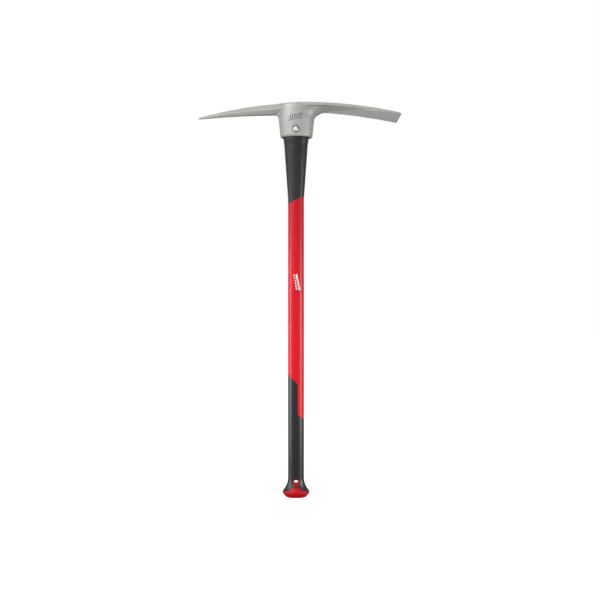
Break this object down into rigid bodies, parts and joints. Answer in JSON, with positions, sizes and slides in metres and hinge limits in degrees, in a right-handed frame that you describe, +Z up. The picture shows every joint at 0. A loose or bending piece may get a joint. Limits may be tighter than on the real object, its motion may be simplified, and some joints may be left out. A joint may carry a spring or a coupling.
{
  "type": "pick mattock",
  "caption": "Pick mattock with a forged pick-and-adze head on a long oval fibreglass handle with moulded red jacket, black guard and grip, and a flared red butt cap.",
  "frame": {"origin": "centre of the flat end of the butt cap, on the handle's axis", "axes": "+Z up the handle to the head, the pick points along -X, the adze along +X, and the cross screw's head faces -Y"},
  "size_m": [0.4668, 0.097, 0.9144],
  "materials": {
    "forged_steel": "silver-grey powder coat over forged steel",
    "fastener_steel": "zinc plated",
    "dark_steel": "blackened",
    "black_rubber": "satin soft-touch",
    "red_plastic": "satin",
    "fibreglass": "pultruded rod",
    "black_nylon": "moulded",
    "epoxy": "poured and set"
  },
  "bodies": {
    "root": {"mattock_head": "forged_steel", "cross_screw": "fastener_steel", "screw_washer": "dark_steel", "sleeve_nut": "fastener_steel", "nut_washer": "dark_steel", "eye_epoxy": "epoxy", "eye_tenon": "black_nylon", "handle_core": "fibreglass", "overstrike_guard": "black_rubber", "handle_jacket": "red_plastic", "rear_grip": "black_rubber", "butt_cap": "red_plastic", "lanyard_bush": "red_plastic"}
  },
  "joints": []
}
